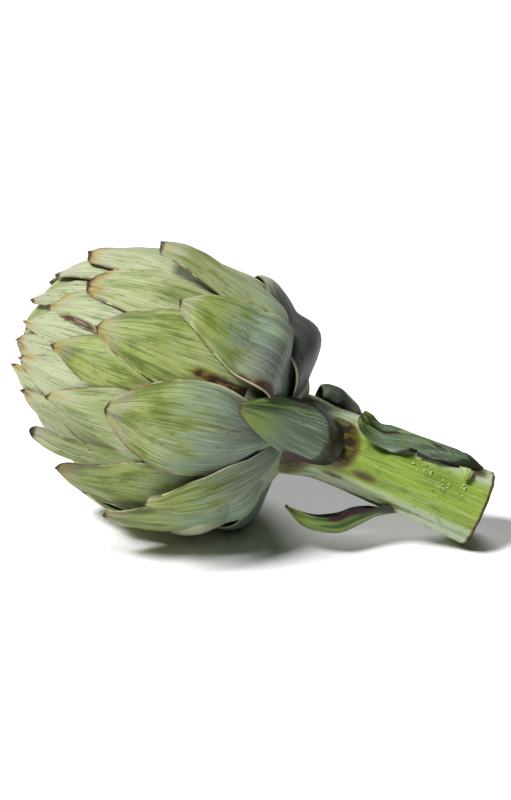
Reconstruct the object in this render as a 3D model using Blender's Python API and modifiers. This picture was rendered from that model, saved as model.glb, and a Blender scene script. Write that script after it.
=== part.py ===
"""A globe artichoke with a short cut stem, lying on its side.

Metres, +Z up. The table is z = 0 and the origin is the middle of the small flat spot that the
head rests on. The head points to -X and a little up, the stem to +X and down to the table.
"""

import math
import random
from typing import NamedTuple

import bmesh
import bpy
from mathutils import Vector

MM = 0.001

# The head: an egg whose axis runs from the neck to the closed tip.
HEAD_LENGTH = 0.107
HEAD_RADIUS = 0.051
HEAD_PITCH = math.radians(13.5)
HEAD_BASE = Vector((0.052, 0.0, 0.0426))
FULLEST = 0.40  # share of the length where the head is widest
END_ROOM = 0.02  # the egg closes this share of the length past either end
BASE_FULLNESS = 2.5  # superellipse powers: how square each half of the egg is
TIP_FULLNESS = 2.1
CORE_DEPTH = 0.0034  # the core lies this far under the bracts' outer faces
CORE_END = 0.97

# The stem: slightly ribbed, cut square, and turned a little from the head's axis.
STEM_PITCH = math.radians(22.8)
STEM_YAW = math.radians(8.0)
STEM_LENGTH = 0.0750
STEM_TOP_RADIUS = 0.0134
STEM_CUT_RADIUS = 0.0143
STEM_RIBS = 14
RIB_HEIGHT = 0.00045
STEM_RINGS = 7
NECK_SAG = 0.0026  # the stem leaves the head this much under the line of its lower part
SAG_REACH = 0.028
NECK_LENGTH = 0.005  # the neck grows out of the head, the stem goes on from it
GAP = 0.0003  # between touching pieces

# The bracts.
BLADE_THICKNESS = 0.0036
THIN_BLADE = 0.0016  # of a bract that stands off the head
STANDS_OFF = 0.0048  # the flare from which a bract counts as one that does
BLADE_CELLS = (6, 4)  # along and across
NARROWEST_RADIUS = 0.012  # nearer the axis than this, a bract wraps no further round it
SEAT = 0.0052  # how deep a bract's root lies
TUCK = 0.0014  # how much lower its margins lie than its keel
STACK = 0.0042  # how much higher the outermost bracts lie than the innermost
FULLNESS = 0.9  # how square a bract's outline is beside its tip
FLARE_START = 0.42
ROLL_SPAN = (0.60, 0.95)  # share of the length over which margins turn up
HOOK_SPAN = (0.84, 1.02)  # share of the length over which a tip bends
BELLY_REACH = 0.42  # share of a bract's length that its belly takes

# The bracts round the back follow the spiral that artichokes grow in.
GOLDEN_TURN = 137.508
SPIRAL_COUNT = 58
SPIRAL_TIPS = (0.40, 0.97)  # share of the head's length that the first and last tip reach
FRONT_SECTOR = (-58.0, 160.0)  # degrees round the head, laid out by hand instead
LYING_SECTOR = 172.0  # beyond this many degrees either way, one broad bract lies on the table
SEED = 11

TABLE_BLOCK = (0.30, 0.20, 0.02)


class Bract(NamedTuple):
    """A bract: (share of the head's length, degrees round it from the top) of root and tip."""

    root: tuple
    tip: tuple
    half_width: float
    flare: float = 0.0008  # how far its tip stands off the head
    lift: float = 0.0  # how far the whole bract lies over its row
    belly: float = 0.0  # how far its lower half bulges
    cup: float = 0.0  # how much deeper its margins lie, toward the root
    roll: float = 0.0  # how far its margins turn up beside the tip
    hook: float = 0.0010  # how far its tip bends inward
    widest: float = 0.38  # where along its length it is widest
    root_width: float = 0.62  # as a share of the widest
    blunt: float = 0.10  # width of its tip, as a share of the widest
    roundness: float = 2.0  # 1 narrows to the tip in straight lines, 2 in an arch


class StemLeaf(NamedTuple):
    """A small leaf on the stem.

    Its midrib and its two margins run from root to tip through points given as mm along the
    stem, degrees round it from the top to the front, and mm above it.
    """

    name: str
    near: tuple
    midrib: tuple
    far: tuple
    waves: float = 0.0  # height of the crumpling


# Degrees run from 0 on top over 90 at the front to 180 underneath.
FRONT_BRACTS = (
    # outermost row, from the top round the front to the bottom, then what shows behind it
    Bract(
        (-0.01, 6), (0.575, 8.5), 0.0108, 0.0118, 0.0006, 0.0010,
        roll=-0.0006, hook=0.0034, blunt=0.2, roundness=1.05,
    ),
    Bract(
        (0.012, 36), (0.45, 29), 0.0152, 0.0015, 0.0012, 0.0036,
        cup=0.0008, root_width=0.9, roundness=1.6,
    ),
    Bract(
        (-0.01, 75), (0.56, 79), 0.0183, 0.0020, 0.0010, 0.0012,
        hook=0.0006, widest=0.46, root_width=0.12,
    ),
    Bract((-0.01, 98), (0.365, 114), 0.0100, 0.0012, 0.0018, roundness=1.6),
    Bract((-0.01, 142), (0.50, 130), 0.0165, 0.0055, 0.0002, 0.0010, roll=0.0010),
    Bract((-0.02, 134), (0.30, 152), 0.0150, 0.0004, -0.0010, 0.0030, cup=0.0015),
    Bract((-0.01, 180), (0.50, 180), 0.0165, 0.0050, 0.0010, 0.0055, cup=0.0030),
    Bract(
        (-0.04, 13), (0.34, -20), 0.0185, 0.0004, -0.0030, 0.0100,
        cup=0.0020, root_width=0.8,
    ),
    # second row
    Bract((0.03, 44), (0.69, 48), 0.0165, 0.0012),
    Bract((0.02, 109), (0.69, 119), 0.0158, 0.0044, roll=0.0006),
    Bract((0.04, 156), (0.64, 158), 0.0158),
    Bract((0.04, -16), (0.64, -17), 0.0158, 0.0002, -0.0034),
    Bract((0.06, -48), (0.66, -49), 0.0158, 0.0010),
    # third row
    Bract((0.08, 4), (0.82, 3), 0.0160, 0.0046, hook=-0.0004),
    Bract((0.10, 22), (0.78, 26), 0.0150, 0.0028, hook=0.0016),
    Bract((0.15, 60), (0.83, 62), 0.0135, 0.0012),
    Bract((0.10, 80), (0.79, 88), 0.0160, 0.0018),
    Bract((0.15, 108), (0.75, 100), 0.0068, 0.0118, roll=0.0022, hook=-0.0010),
    Bract((0.12, 138), (0.76, 140), 0.0140, 0.0000, -0.0055),
    Bract((0.12, -28), (0.79, -30), 0.0150, 0.0010),
    # fourth row
    Bract((0.25, 12), (0.92, 8), 0.0130, 0.0038),
    Bract((0.25, 36), (0.89, 39), 0.0125, 0.0030),
    Bract((0.25, 74), (0.93, 78), 0.0125, 0.0016),
    Bract((0.25, 90), (0.885, 95), 0.0095, 0.0018),
    Bract((0.25, 124), (0.85, 124), 0.0115, 0.0000, -0.0070),
    Bract((0.25, 152), (0.89, 154), 0.0125, 0.0002, -0.0030),
    Bract((0.25, -46), (0.88, -46), 0.0125, 0.0010),
    # the closing tips
    Bract((0.45, 30), (0.96, 30), 0.0100, 0.0046),
    Bract((0.45, 50), (0.95, 51), 0.0100, 0.0034),
    Bract((0.45, 66), (0.97, 67), 0.0100, 0.0020),
    Bract((0.45, 88), (0.965, 90), 0.0070, 0.0010),
    Bract((0.45, 126), (0.95, 128), 0.0090, 0.0000, -0.0050),
    Bract((0.45, -10), (0.965, -12), 0.0100, 0.0026),
)
CLOSING_WHORLS = (  # (share reached, bracts, half width, root) of the innermost whorls
    (0.990, 7, 0.0095, 0.60),
    (1.008, 5, 0.0080, 0.68),
    (1.018, 3, 0.0060, 0.74),
)

STEM_LEAVES = (
    StemLeaf(
        name="stem_leaf_front",
        near=(
            (18, 96, 0.1), (14, 94, 3), (9, 91, 6), (0, 83, 12),
            (-8, 77, 18.5), (-16, 71, 26), (-23.5, 65, 35),
        ),
        midrib=(
            (21, 62, 0.1), (15.5, 60, 4), (10.5, 58, 9), (3, 57, 14),
            (-6, 58, 20), (-16, 61, 29), (-24.5, 63, 37),
        ),
        far=(
            (15, 24, 0.1), (9, 24, 3.5), (1.5, 31, 10.5), (-7, 41, 17),
            (-15, 51, 24.5), (-21, 58, 31), (-24.5, 62, 36.5),
        ),
    ),
    StemLeaf(
        name="stem_leaf_under",
        near=(
            (43, 122, 0.1), (37.5, 128, 4), (31, 128, 8), (26, 130, 13),
            (20, 133, 15), (14, 138, 14.7), (8, 142, 14),
        ),
        midrib=(
            (47, 140, 0.1), (41, 143, 4), (36, 143, 10), (30, 143, 16),
            (22, 143, 18.5), (15, 143, 18), (8, 143, 14),
        ),
        far=(
            (43, 160, 0.1), (37.5, 160, 2), (32, 161, 5), (27, 161, 9.5),
            (20, 156, 13), (14, 150, 13.7), (8, 144, 14),
        ),
    ),
    StemLeaf(
        name="stem_leaf_top",
        near=(
            (62, 14, 0.9), (54, 26, 1.1), (47.5, 30, 1.6), (42, 34, 1.5),
            (35, 41, 1.5), (28, 45, 2.0), (22, 40, 3.8), (19, 31, 7.5),
        ),
        midrib=(
            (69, -12, 1.4), (60, -6, 2.2), (52, -3, 2.8), (44, 5, 2.8),
            (36, 15, 3.0), (29, 22, 3.8), (23, 25, 6.2), (18.8, 28, 9.5),
        ),
        far=(
            (70, -38, 0.9), (62, -36, 1.0), (53, -32, 1.4), (44, -24, 1.6),
            (36, -12, 2.0), (30, -2, 3.2), (25, 9, 6.2), (20, 23, 10),
        ),
        waves=0.0007,
    ),
    StemLeaf(
        name="stem_leaf_back",
        near=(
            (21, -34, 0.1), (17.5, -40, 1.2), (14.5, -44, 2.6), (11, -45, 3.6),
            (8, -46, 4.2), (5.5, -48, 4.4),
        ),
        midrib=(
            (24, -58, 0.1), (20, -66, 8), (16, -69, 12), (11, -71, 15.5),
            (7, -74, 17), (4, -76, 17),
        ),
        far=(
            (21, -84, 0.1), (17, -96, 4), (13, -102, 7), (9, -104, 9),
            (7, -104, 9.5), (6, -102, 9.5),
        ),
    ),
)
LEAF_FOLDS = 9.0  # radians of crumpling from a leaf's midrib to its margin
FOLD_WANDER = 2.5  # how far, in radians, the folds run askew
LEAF_CELLS = (14, 6)
LEAF_THICKNESS = 0.0012

COLOURS = {
    "bract_green": (0.43, 0.50, 0.25),
    "stem_green": (0.42, 0.50, 0.12),
    "leaf_green": (0.30, 0.38, 0.18),
}


# --- small helpers ---------------------------------------------------------------------------


def mix(a, b, share):
    return a + (b - a) * share


def ramp(value, low, high):
    """From 0 at low to 1 at high, easing in and out."""
    share = min(1.0, max(0.0, (value - low) / (high - low)))
    return share * share * (3.0 - 2.0 * share)


def clear_scene():
    for old in list(bpy.data.objects):
        bpy.data.objects.remove(old, do_unlink=True)


def new_collection(name):
    made = bpy.data.collections.new(name)
    bpy.context.scene.collection.children.link(made)
    return made


def plant_material(name):
    """A soft-sheened leaf material."""
    made = bpy.data.materials.new(name)
    made.use_nodes = True
    shader = made.node_tree.nodes["Principled BSDF"]
    shader.inputs["Base Color"].default_value = (*COLOURS[name], 1.0)
    shader.inputs["Roughness"].default_value = 0.55
    shader.inputs["Metallic"].default_value = 0.0
    return made


def new_object(name, mesh, collection, material=None):
    made = bpy.data.objects.new(name, mesh)
    collection.objects.link(made)
    if material:
        mesh.materials.append(material)
    return made


def mesh_from(work, name):
    mesh = bpy.data.meshes.new(name)
    work.to_mesh(mesh)
    work.free()
    return mesh


def apply_modifiers(made):
    """Bakes the object's modifiers into its mesh."""
    graph = bpy.context.evaluated_depsgraph_get()
    baked = bpy.data.meshes.new_from_object(made.evaluated_get(graph))
    old = made.data
    made.modifiers.clear()
    made.data = baked
    bpy.data.meshes.remove(old)


def add_boolean(made, operation, other=None, collection=None):
    cut = made.modifiers.new(operation.title(), "BOOLEAN")
    cut.operation = operation
    cut.solver = "MANIFOLD" if collection else "EXACT"
    if collection:
        cut.operand_type = "COLLECTION"
        cut.collection = collection
    else:
        cut.object = other
    return cut


def keep_outer_skin(made):
    """Fills the small sealed pockets between overlapping blades by removing their inner walls."""
    work = bmesh.new()
    work.from_mesh(made.data)
    bmesh.ops.triangulate(work, faces=work.faces)
    unseen = set(work.faces)
    skins = []
    while unseen:
        skin = {unseen.pop()}
        rim = list(skin)
        while rim:
            walls = [edge for edge in rim.pop().edges if len(edge.link_faces) == 2]
            beside = {face for edge in walls for face in edge.link_faces} - skin
            skin |= beside
            rim.extend(beside)
        unseen -= skin
        skins.append(skin)
    outer = max(skins, key=len)
    inner = [face for face in work.faces if face not in outer]
    bmesh.ops.delete(work, geom=inner, context="FACES")
    work.to_mesh(made.data)
    work.free()


def curved_blade(name, place, cells, thickness, collection):
    """A grid bent by place(u, v) into an open blade, and thickened inwards."""
    work = bmesh.new()
    bmesh.ops.create_grid(work, x_segments=cells[0], y_segments=cells[1], size=1.0)
    for vert in work.verts:
        # the rows lie closer together toward the tip
        along = 1.0 - (0.5 - vert.co.x / 2) ** 1.1
        vert.co = place(along, vert.co.y)
    blade = new_object(name, mesh_from(work, name), collection)
    shell = blade.modifiers.new("Thickness", "SOLIDIFY")
    shell.thickness = thickness
    shell.offset = -1.0
    apply_modifiers(blade)
    return blade


# --- the head --------------------------------------------------------------------------------

HEAD_AXIS = Vector((-math.cos(HEAD_PITCH), 0.0, math.sin(HEAD_PITCH)))
HEAD_TOP = Vector((math.sin(HEAD_PITCH), 0.0, math.cos(HEAD_PITCH)))
FRONT = Vector((0.0, -1.0, 0.0))


def envelope_radius(share):
    """Radius of the head's outline at this share of its length."""
    if share < FULLEST:
        off = (FULLEST - share) / (FULLEST + END_ROOM)
        power = BASE_FULLNESS
    else:
        off = (share - FULLEST) / (1.0 + END_ROOM - FULLEST)
        power = TIP_FULLNESS
    return HEAD_RADIUS * max(0.0, 1.0 - min(off, 1.0) ** power) ** (1.0 / power)


def head_point(share, turn, radius):
    around = HEAD_TOP * math.cos(turn) + FRONT * math.sin(turn)
    return HEAD_BASE + HEAD_AXIS * (share * HEAD_LENGTH) + around * radius


def head_surface(share, turn, rise):
    """A point at this height over the egg, along the egg's own outward direction."""
    step = 0.004
    radius = envelope_radius(share)
    widening = envelope_radius(share + step) - envelope_radius(share - step)
    slope = widening / (2 * step * HEAD_LENGTH)
    outward = Vector((1.0, -slope)).normalized()
    beyond = rise * outward.y / HEAD_LENGTH
    return head_point(share + beyond, turn, max(radius + rise * outward.x, 0.0005))


def bract_outline(bract, along):
    """Half width of a bract, as a share of its widest, from root (0) to tip (1)."""
    if along < bract.widest:
        return mix(bract.root_width, 1.0, math.sin(along / bract.widest * math.pi / 2))
    off = (along - bract.widest) / (1.0 - bract.widest)
    return mix(bract.blunt, 1.0, max(0.0, 1.0 - off**bract.roundness) ** FULLNESS)


def bract_rise(bract, along, across):
    """Height of the bract's outer face over the egg."""
    rise = STACK * (0.85 - bract.tip[0]) + bract.lift
    rise -= SEAT * (1.0 - along) ** 2
    rise -= (TUCK + bract.cup) * across * across * (1.0 - 0.5 * along)
    flaring = max(0.0, (along - FLARE_START) / (1.0 - FLARE_START))
    rise += bract.flare * flaring**2
    swelling = min(1.0, along / BELLY_REACH)
    rise += bract.belly * 4.0 * swelling * (1.0 - swelling)
    rise += bract.roll * across * across * ramp(along, *ROLL_SPAN)
    return rise - bract.hook * ramp(along, *HOOK_SPAN)


def bract_point(bract, along, across):
    """A point of the bract's outer face: along 0..1 from root to tip, across -1..1."""
    share = mix(bract.root[0], bract.tip[0], along)
    half = bract.half_width * bract_outline(bract, along)
    turn = math.radians(mix(bract.root[1], bract.tip[1], along))
    turn += across * half / max(envelope_radius(share), NARROWEST_RADIUS)
    return head_surface(share, turn, bract_rise(bract, along, across))


def spiral_bracts():
    """The bracts outside the front sector, in a seeded golden-angle spiral."""
    draw = random.Random(SEED)
    found = []
    for count in range(SPIRAL_COUNT):
        reach = count / (SPIRAL_COUNT - 1)
        turn = (count * GOLDEN_TURN + 180.0) % 360.0 - 180.0 + draw.uniform(-4, 4)
        tip = mix(*SPIRAL_TIPS, reach**0.9) + draw.uniform(-0.012, 0.012)
        root = mix(-0.01, 0.45, reach**1.2)
        half_width = mix(0.0165, 0.0098, reach**1.5)
        flare = draw.uniform(0.0006, 0.0024)
        if FRONT_SECTOR[0] < turn < FRONT_SECTOR[1] or abs(turn) > LYING_SECTOR:
            continue
        found.append(Bract((root, turn), (tip, turn + draw.uniform(-3, 3)), half_width, flare))
    return found


def closing_bracts():
    """The innermost whorls, which close the tip of the head."""
    found = []
    for whorl, (reach, count, half_width, root) in enumerate(CLOSING_WHORLS):
        for number in range(count):
            turn = 360.0 * (number + whorl * 0.45) / count
            lift = -0.0003 * whorl
            found.append(Bract((root, turn), (reach, turn + 6.0), half_width, 0.0004, lift))
    return found


def head_core(collection):
    """The solid heart under the bracts, turned about the head's axis, and the neck."""
    profile = bmesh.new()
    steps = 12
    points = [Vector((0.0, 0.0, CORE_END * HEAD_LENGTH))]
    for step in range(1, steps + 1):
        share = CORE_END * (1.0 - step / steps)
        points.append(Vector((envelope_radius(share) - CORE_DEPTH, 0.0, share * HEAD_LENGTH)))
    points.append(Vector((0.0, 0.0, 0.0)))
    verts = [profile.verts.new(point) for point in points]
    for first, second in zip(verts, verts[1:]):
        profile.edges.new((first, second))
    core = new_object("head", mesh_from(profile, "head"), collection)
    turned = core.modifiers.new("Turned", "SCREW")
    turned.steps = 36
    turned.render_steps = 36
    turned.use_merge_vertices = True
    turned.merge_threshold = 0.0001
    core.rotation_euler = (0.0, HEAD_PITCH - math.pi / 2, 0.0)
    core.location = HEAD_BASE
    return core


def head_neck(collection):
    work = bmesh.new()
    sunk = 0.012
    bmesh.ops.create_cone(
        work,
        cap_ends=True,
        segments=28,
        radius1=STEM_TOP_RADIUS,
        radius2=STEM_TOP_RADIUS,
        depth=NECK_LENGTH + sunk,
    )
    for vert in work.verts:
        reach = vert.co.z + (NECK_LENGTH - sunk) / 2
        vert.co = stem_point(reach, math.atan2(vert.co.y, vert.co.x), vert.co.to_2d().length)
    return new_object("neck", mesh_from(work, "neck"), collection)


def build_head(collection, table):
    pieces = new_collection("bract pieces")
    for count, bract in enumerate([*FRONT_BRACTS, *spiral_bracts(), *closing_bracts()]):
        thickness = THIN_BLADE if bract.flare > STANDS_OFF else BLADE_THICKNESS

        def place(along, across, bract=bract):
            return bract_point(bract, along, across)

        curved_blade(f"bract {count}", place, BLADE_CELLS, thickness, pieces)
    head_neck(pieces)
    core = head_core(collection)
    add_boolean(core, "UNION", collection=pieces)
    add_boolean(core, "DIFFERENCE", table)
    apply_modifiers(core)
    keep_outer_skin(core)
    core.data.materials.clear()
    core.data.materials.append(plant_material("bract_green"))
    for piece in list(pieces.objects):
        bpy.data.objects.remove(piece, do_unlink=True)
    bpy.data.collections.remove(pieces)
    return core


# --- the stem and its leaves -----------------------------------------------------------------

STEM_HEADING = Vector((math.cos(STEM_YAW), math.sin(STEM_YAW), 0.0))
STEM_AXIS = STEM_HEADING * math.cos(STEM_PITCH) - Vector((0.0, 0.0, math.sin(STEM_PITCH)))
STEM_SIDE = Vector((math.sin(STEM_YAW), -math.cos(STEM_YAW), 0.0))
STEM_TOP = STEM_SIDE.cross(STEM_AXIS)


def stem_point(reach, turn, radius):
    """A point this far down the stem from the head's base, turned from its top to the front."""
    around = STEM_TOP * math.cos(turn) + STEM_SIDE * math.sin(turn)
    sag = NECK_SAG * (1.0 - min(max(reach, 0.0), SAG_REACH) / SAG_REACH) ** 2
    return HEAD_BASE + STEM_AXIS * reach - STEM_TOP * sag + around * radius


def stem_radius(reach):
    return mix(STEM_TOP_RADIUS, STEM_CUT_RADIUS, max(0.0, reach) / STEM_LENGTH)


def stem_solid(name, collection, grown=0.0):
    """The ribbed stem, or a fatter copy of it to keep its neighbours clear."""
    work = bmesh.new()
    depth = STEM_LENGTH - NECK_LENGTH - GAP
    bmesh.ops.create_cone(
        work, cap_ends=True, segments=STEM_RIBS * 4, radius1=1.0, radius2=1.0, depth=depth
    )
    long_edges = [edge for edge in work.edges if edge.verts[0].co.z * edge.verts[1].co.z < 0]
    bmesh.ops.subdivide_edges(work, edges=long_edges, cuts=STEM_RINGS - 1, use_grid_fill=True)
    for vert in work.verts:
        turn = math.atan2(vert.co.y, vert.co.x)
        reach = NECK_LENGTH + GAP + depth / 2 + vert.co.z
        rib = RIB_HEIGHT * math.cos(STEM_RIBS * turn)
        reach += grown if vert.co.z > 0 else -grown
        vert.co = stem_point(reach, turn, stem_radius(reach) + rib + grown)
    return new_object(name, mesh_from(work, name), collection)


def smooth_through(points, share):
    """A point of the smooth curve through the given points, share 0..1 along it."""
    place = share * (len(points) - 1)
    first = min(int(place), len(points) - 2)
    local = place - first
    before = Vector(points[max(first - 1, 0)])
    start = Vector(points[first])
    end = Vector(points[first + 1])
    after = Vector(points[min(first + 2, len(points) - 1)])
    bend = (2 * before - 5 * start + 4 * end - after) * local**2
    twist = (3 * start - before - 3 * end + after) * local**3
    return 0.5 * (2 * start + (end - before) * local + bend + twist)


def leaf_point(leaf, along, across):
    """A point of the leaf's outer face, bent through its margins and its midrib."""
    near = smooth_through(leaf.near, along) * (across * across - across) / 2
    far = smooth_through(leaf.far, along) * (across * across + across) / 2
    midrib = smooth_through(leaf.midrib, along) * (1.0 - across * across)
    reach, degrees, height = near + midrib + far
    reach = reach * MM
    crumple = math.sin(LEAF_FOLDS * across + FOLD_WANDER * math.sin(LEAF_FOLDS * along))
    radius = stem_radius(reach) + height * MM + leaf.waves * crumple
    return stem_point(reach, math.radians(degrees), radius)


def build_stem_leaf(leaf, collection, clearance, material):
    def place(along, across):
        return leaf_point(leaf, along, across)

    made = curved_blade(leaf.name, place, LEAF_CELLS, LEAF_THICKNESS, collection)
    made.data.materials.append(material)
    add_boolean(made, "DIFFERENCE", clearance)
    return made


def build_table(cutters):
    """The table's top, which presses the flat spots into what rests on it."""
    bpy.ops.mesh.primitive_cube_add(size=1.0, location=(0.0, 0.0, -TABLE_BLOCK[2] / 2))
    table = bpy.context.object
    table.name = "table_top"
    table.scale = TABLE_BLOCK
    for collection in list(table.users_collection):
        collection.objects.unlink(table)
    cutters.objects.link(table)
    return table


def hide_cutter(cutter):
    cutter.hide_render = True
    cutter.display_type = "WIRE"


def main():
    clear_scene()
    artichoke = new_collection("artichoke")
    cutters = new_collection("cutters")
    table = build_table(cutters)
    clearance = stem_solid("stem_clearance", cutters, GAP)
    for cutter in (table, clearance):
        hide_cutter(cutter)

    head = build_head(artichoke, table)
    stem = stem_solid("stem", artichoke)
    stem.data.materials.append(plant_material("stem_green"))
    add_boolean(stem, "DIFFERENCE", table)
    leaf_green = plant_material("leaf_green")
    leaves = [build_stem_leaf(leaf, artichoke, clearance, leaf_green) for leaf in STEM_LEAVES]
    for made in (head, stem, *leaves):
        made.data.shade_smooth()
        made.data.set_sharp_from_angle(angle=math.radians(40))


main()
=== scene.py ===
"""The looks of a globe artichoke with a short cut stem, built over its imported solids.

Metres, +Z up, in the frame of the solids. The head lies on its side and points to -X and a
little up; the stem runs to +X and down to the table, which is z = 0. Every bract is a thin
closed blade, laid on the egg that the solids follow too.
"""

import logging
import math
import random
from dataclasses import dataclass, field
from enum import Enum
from typing import Any, Callable, Iterable, Sequence

import bmesh
import bpy
from bpy.types import ID, Material, Node, NodeSocket, NodeTree, Object
from mathutils import Matrix, Vector, noise


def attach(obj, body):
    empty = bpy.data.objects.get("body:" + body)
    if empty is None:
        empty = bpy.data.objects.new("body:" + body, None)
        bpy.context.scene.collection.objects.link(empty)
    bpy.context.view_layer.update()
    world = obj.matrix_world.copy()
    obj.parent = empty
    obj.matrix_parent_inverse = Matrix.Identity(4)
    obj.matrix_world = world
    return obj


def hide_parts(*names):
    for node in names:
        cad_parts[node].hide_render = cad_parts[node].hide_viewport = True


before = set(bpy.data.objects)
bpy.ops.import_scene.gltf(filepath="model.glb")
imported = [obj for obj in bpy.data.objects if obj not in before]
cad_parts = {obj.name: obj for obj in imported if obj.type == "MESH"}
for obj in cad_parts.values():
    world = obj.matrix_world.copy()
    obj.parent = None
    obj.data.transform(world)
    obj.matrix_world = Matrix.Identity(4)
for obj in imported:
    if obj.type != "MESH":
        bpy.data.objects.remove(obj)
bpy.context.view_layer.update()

BODY = "root"
MM = 0.001
NECK = (0.052, 0.0, 0.0426)  # where the head's axis meets the stem's
TABLE_GAP = 0.0002  # how far the lowest skin stays over the table

log = logging.getLogger("artichoke")

Pair = tuple[float, float]
Triple = tuple[float, float, float]
Inputs = dict[str | int, Any]  # a node's sockets by name or number


# --- helpers -----------------------------------------------------------------------------------


def mix(a: float, b: float, share: float) -> float:
    """The value this share of the way from a to b."""
    return a + (b - a) * share


def ramp(value: float, low: float, high: float) -> float:
    """0 at low, 1 at high, and smooth between them.

    Args:
        value: what is measured.
        low: where the result is 0. It may lie above high.
        high: where the result is 1.

    Returns:
        The smooth step, from 0 to 1.
    """
    share = min(1.0, max(0.0, (value - low) / (high - low)))
    return share * share * (3.0 - 2.0 * share)


def bump_at(value: float, middle: float, width: float) -> float:
    """A soft bump of height 1 at the middle, about 0 beyond twice the width."""
    return math.exp(-(((value - middle) / width) ** 2))


def smooth_through(points: Sequence[Sequence[float]], share: float) -> Vector:
    """A point of the smooth curve through the given points.

    Args:
        points: what the curve passes through.
        share: 0 to 1 along it.

    Returns:
        The point, of as many numbers as the given ones have.
    """
    place = share * (len(points) - 1)
    first = min(int(place), len(points) - 2)
    local = place - first
    before = Vector(points[max(first - 1, 0)])
    start = Vector(points[first])
    end = Vector(points[first + 1])
    after = Vector(points[min(first + 2, len(points) - 1)])
    bend = (2 * before - 5 * start + 4 * end - after) * local**2
    twist = (3 * start - before - 3 * end + after) * local**3
    return 0.5 * (2 * start + (end - before) * local + bend + twist)


def linear(colour: str) -> tuple[float, float, float, float]:
    """Turns an sRGB colour to linear light.

    Args:
        colour: the colour as #rrggbb.

    Returns:
        Its linear red, green and blue, and a full alpha.
    """
    channels = (int(colour[i : i + 2], 16) / 255 for i in (1, 3, 5))
    r, g, b = (c / 12.92 if c <= 0.04045 else ((c + 0.055) / 1.055) ** 2.4 for c in channels)
    return (r, g, b, 1.0)


def direction(azimuth: float, elevation: float) -> Vector:
    """The way from the table to a place in the room.

    Args:
        azimuth: degrees round from the table's front, toward +X.
        elevation: degrees up from the table.

    Returns:
        The way there, of length 1.
    """
    turn, up = math.radians(azimuth), math.radians(elevation)
    return Vector((math.sin(turn) * math.cos(up), -math.cos(turn) * math.cos(up), math.sin(up)))


def aim(thing: Object, place: Vector) -> None:
    """Turns a lamp or camera that stands in this direction so that it looks back."""
    thing.rotation_euler = (-place).to_track_quat("-Z", "Y").to_euler()


def put_in_scene(name: str, data: ID) -> Object:
    """Puts a mesh, lamp or camera into the scene.

    Args:
        name: the object's name.
        data: what it holds.

    Returns:
        The new object.
    """
    made = bpy.data.objects.new(name, data)
    bpy.context.scene.collection.objects.link(made)
    return made


def new_material(name: str) -> tuple[Material, NodeTree, Node]:
    """Starts a material.

    Args:
        name: its name.

    Returns:
        The material, its nodes and its shader.
    """
    made = bpy.data.materials.new(name)
    made.use_nodes = True
    return made, made.node_tree, made.node_tree.nodes["Principled BSDF"]


def set_inputs(tree: NodeTree, node: Node, inputs: Inputs) -> None:
    """Sets or links a node's sockets.

    Args:
        tree: the nodes that it is one of.
        node: the node.
        inputs: its sockets by name or number, each a value or another node's output.
    """
    for name, value in inputs.items():
        if isinstance(value, NodeSocket):
            tree.links.new(value, node.inputs[name])
        else:
            node.inputs[name].default_value = value


def add_node(tree: NodeTree, kind: str, inputs: Inputs, **settings: Any) -> Node:
    """Adds a node.

    Args:
        tree: the material's nodes.
        kind: the node's type.
        inputs: its sockets, as in set_inputs.
        settings: its properties by name.

    Returns:
        The node.
    """
    node = tree.nodes.new(kind)
    for name, value in settings.items():
        setattr(node, name, value)
    set_inputs(tree, node, inputs)
    return node


# --- finishes ----------------------------------------------------------------------------------


class Mark(Enum):
    """What each point of a sheet of plant skin knows about its place, for its colours."""

    ALONG = "along"  # 0 at the root, 1 at the tip
    ACROSS = "across"  # -1 and 1 at the margins, 0 at the midrib
    BLOOM = "bloom"  # grey wax, from 0 to 1
    FRESH = "fresh"  # how yellow-green the skin is under the wax
    STAIN = "stain"  # brown bruising and stains, and painted shade on the stem's neck and at the leaves' roots
    INNER = "inner"  # 1 on the face turned to the axis
    PURPLE = "purple"  # where the skin turns purple, and painted shade on the bracts turned from the light
    GOLD = "gold"  # ochre and brown of a dried tip
    CLUSTER = "cluster"  # where dark dots and smudges gather


class Grain(Enum):
    """Patterns of plant skin, as the size in mm of their marks across and along it."""

    FIBRE = (0.55, 16.0)  # the fine parallel veins, about 0.3 mm apart but too fine to show so
    STREAK = (1.9, 24.0)  # bundles of veins
    PATCH = (8.0, 19.0)  # broad changes of colour
    MOTTLE = (2.4, 5.0)  # blotches
    FRECKLE = (0.75, 1.7)  # dots and rubbed spots
    SCAR = (0.8, 5.5)  # scratches that have turned brown


@dataclass(frozen=True)
class Wash:
    """One layer of colour, laid where all that it follows call for it.

    Each mark or grain that it follows has a span, from none of the colour to all of it.
    """

    colour: str
    strength: float
    follows: dict[Mark | Grain, Pair]


Sources = dict[Mark | Grain, NodeSocket]


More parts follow.
